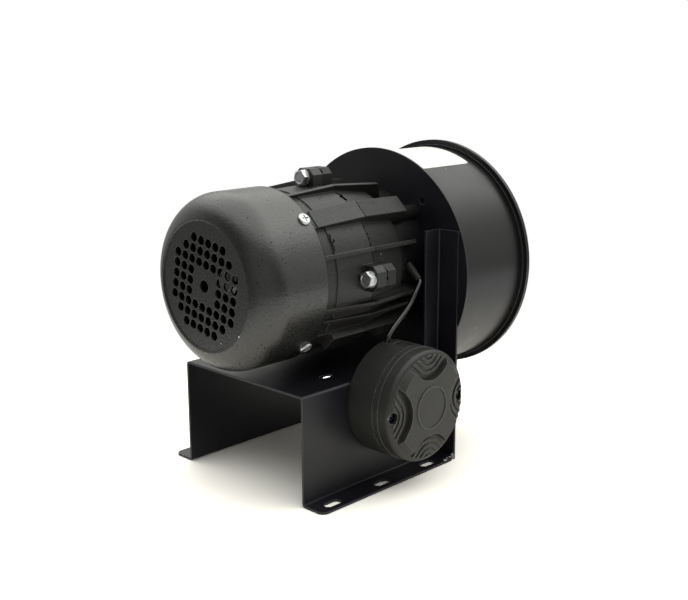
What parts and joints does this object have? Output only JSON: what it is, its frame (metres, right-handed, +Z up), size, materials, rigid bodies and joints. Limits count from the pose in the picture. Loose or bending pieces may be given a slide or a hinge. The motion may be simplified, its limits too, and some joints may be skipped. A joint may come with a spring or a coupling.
{
  "type": "centrifugal fan",
  "caption": "Small black centrifugal fan with a flange motor on a bent sheet stand, a round drum casing with a bell-mouth inlet and flanged outlet, and a round terminal box.",
  "frame": {"origin": "middle of the two rows of foot slots, on the floor under the stand", "axes": "+Z up out of the floor, +X along the shaft from the motor to the fan, +Y towards the outlet (the terminal box is on the -Y side)"},
  "size_m": [0.2514, 0.2011, 0.2226],
  "materials": {
    "sheet_paint": "black satin powder coat on bent sheet",
    "casting_paint": "dark grey matt textured paint on castings and cowl",
    "moulded_plastic": "dark grey moulded plastic with a slight sheen",
    "zinc_plate": "bright zinc-plated steel",
    "galvanised_sheet": "galvanised sheet steel",
    "bright_steel": "bare machined steel",
    "cast_aluminium": "bare cast aluminium",
    "enamelled_copper": "enamelled copper windings",
    "brass": "bare brass",
    "black_rubber": "black rubber and lead jacket"
  },
  "bodies": {
    "frame": {"stand": "sheet_paint", "motor_plate": "sheet_paint", "casing_back": "sheet_paint", "scroll_wall": "sheet_paint", "casing_front": "sheet_paint", "inlet_ring": "sheet_paint", "inlet_screws": "zinc_plate", "outlet_flange": "sheet_paint", "front_housing": "casting_paint", "rear_housing": "casting_paint", "stator_core": "bright_steel", "stator_windings": "enamelled_copper", "front_bearing": "bright_steel", "rear_bearing": "bright_steel", "fan_cowl": "casting_paint", "cowl_screws": "zinc_plate", "lug_bolts": "zinc_plate", "lug_washers": "zinc_plate", "flange_screws": "zinc_plate", "box_base": "moulded_plastic", "box_gasket": "black_rubber", "box_lid": "moulded_plastic", "lid_screws": "zinc_plate", "terminal_block": "moulded_plastic", "terminal_screws": "brass", "box_screws": "zinc_plate", "box_nuts": "zinc_plate", "lead_sleeve": "black_rubber", "motor_lead": "black_rubber"},
    "rotor": {"shaft": "bright_steel", "rotor_core": "bright_steel", "rotor_end_rings": "cast_aluminium", "cooling_fan": "moulded_plastic", "fan_clip": "zinc_plate", "impeller_hub": "cast_aluminium", "impeller_disc": "galvanised_sheet", "impeller_blades": "galvanised_sheet", "impeller_ring": "galvanised_sheet", "set_screw": "bright_steel"}
  },
  "joints": [
    {"name": "shaft_spin", "type": "hinge", "parent": "frame", "child": "rotor", "pos_m": [0.072, 0, 0.1435], "axis": [1, 0, 0], "continuous": true}
  ]
}
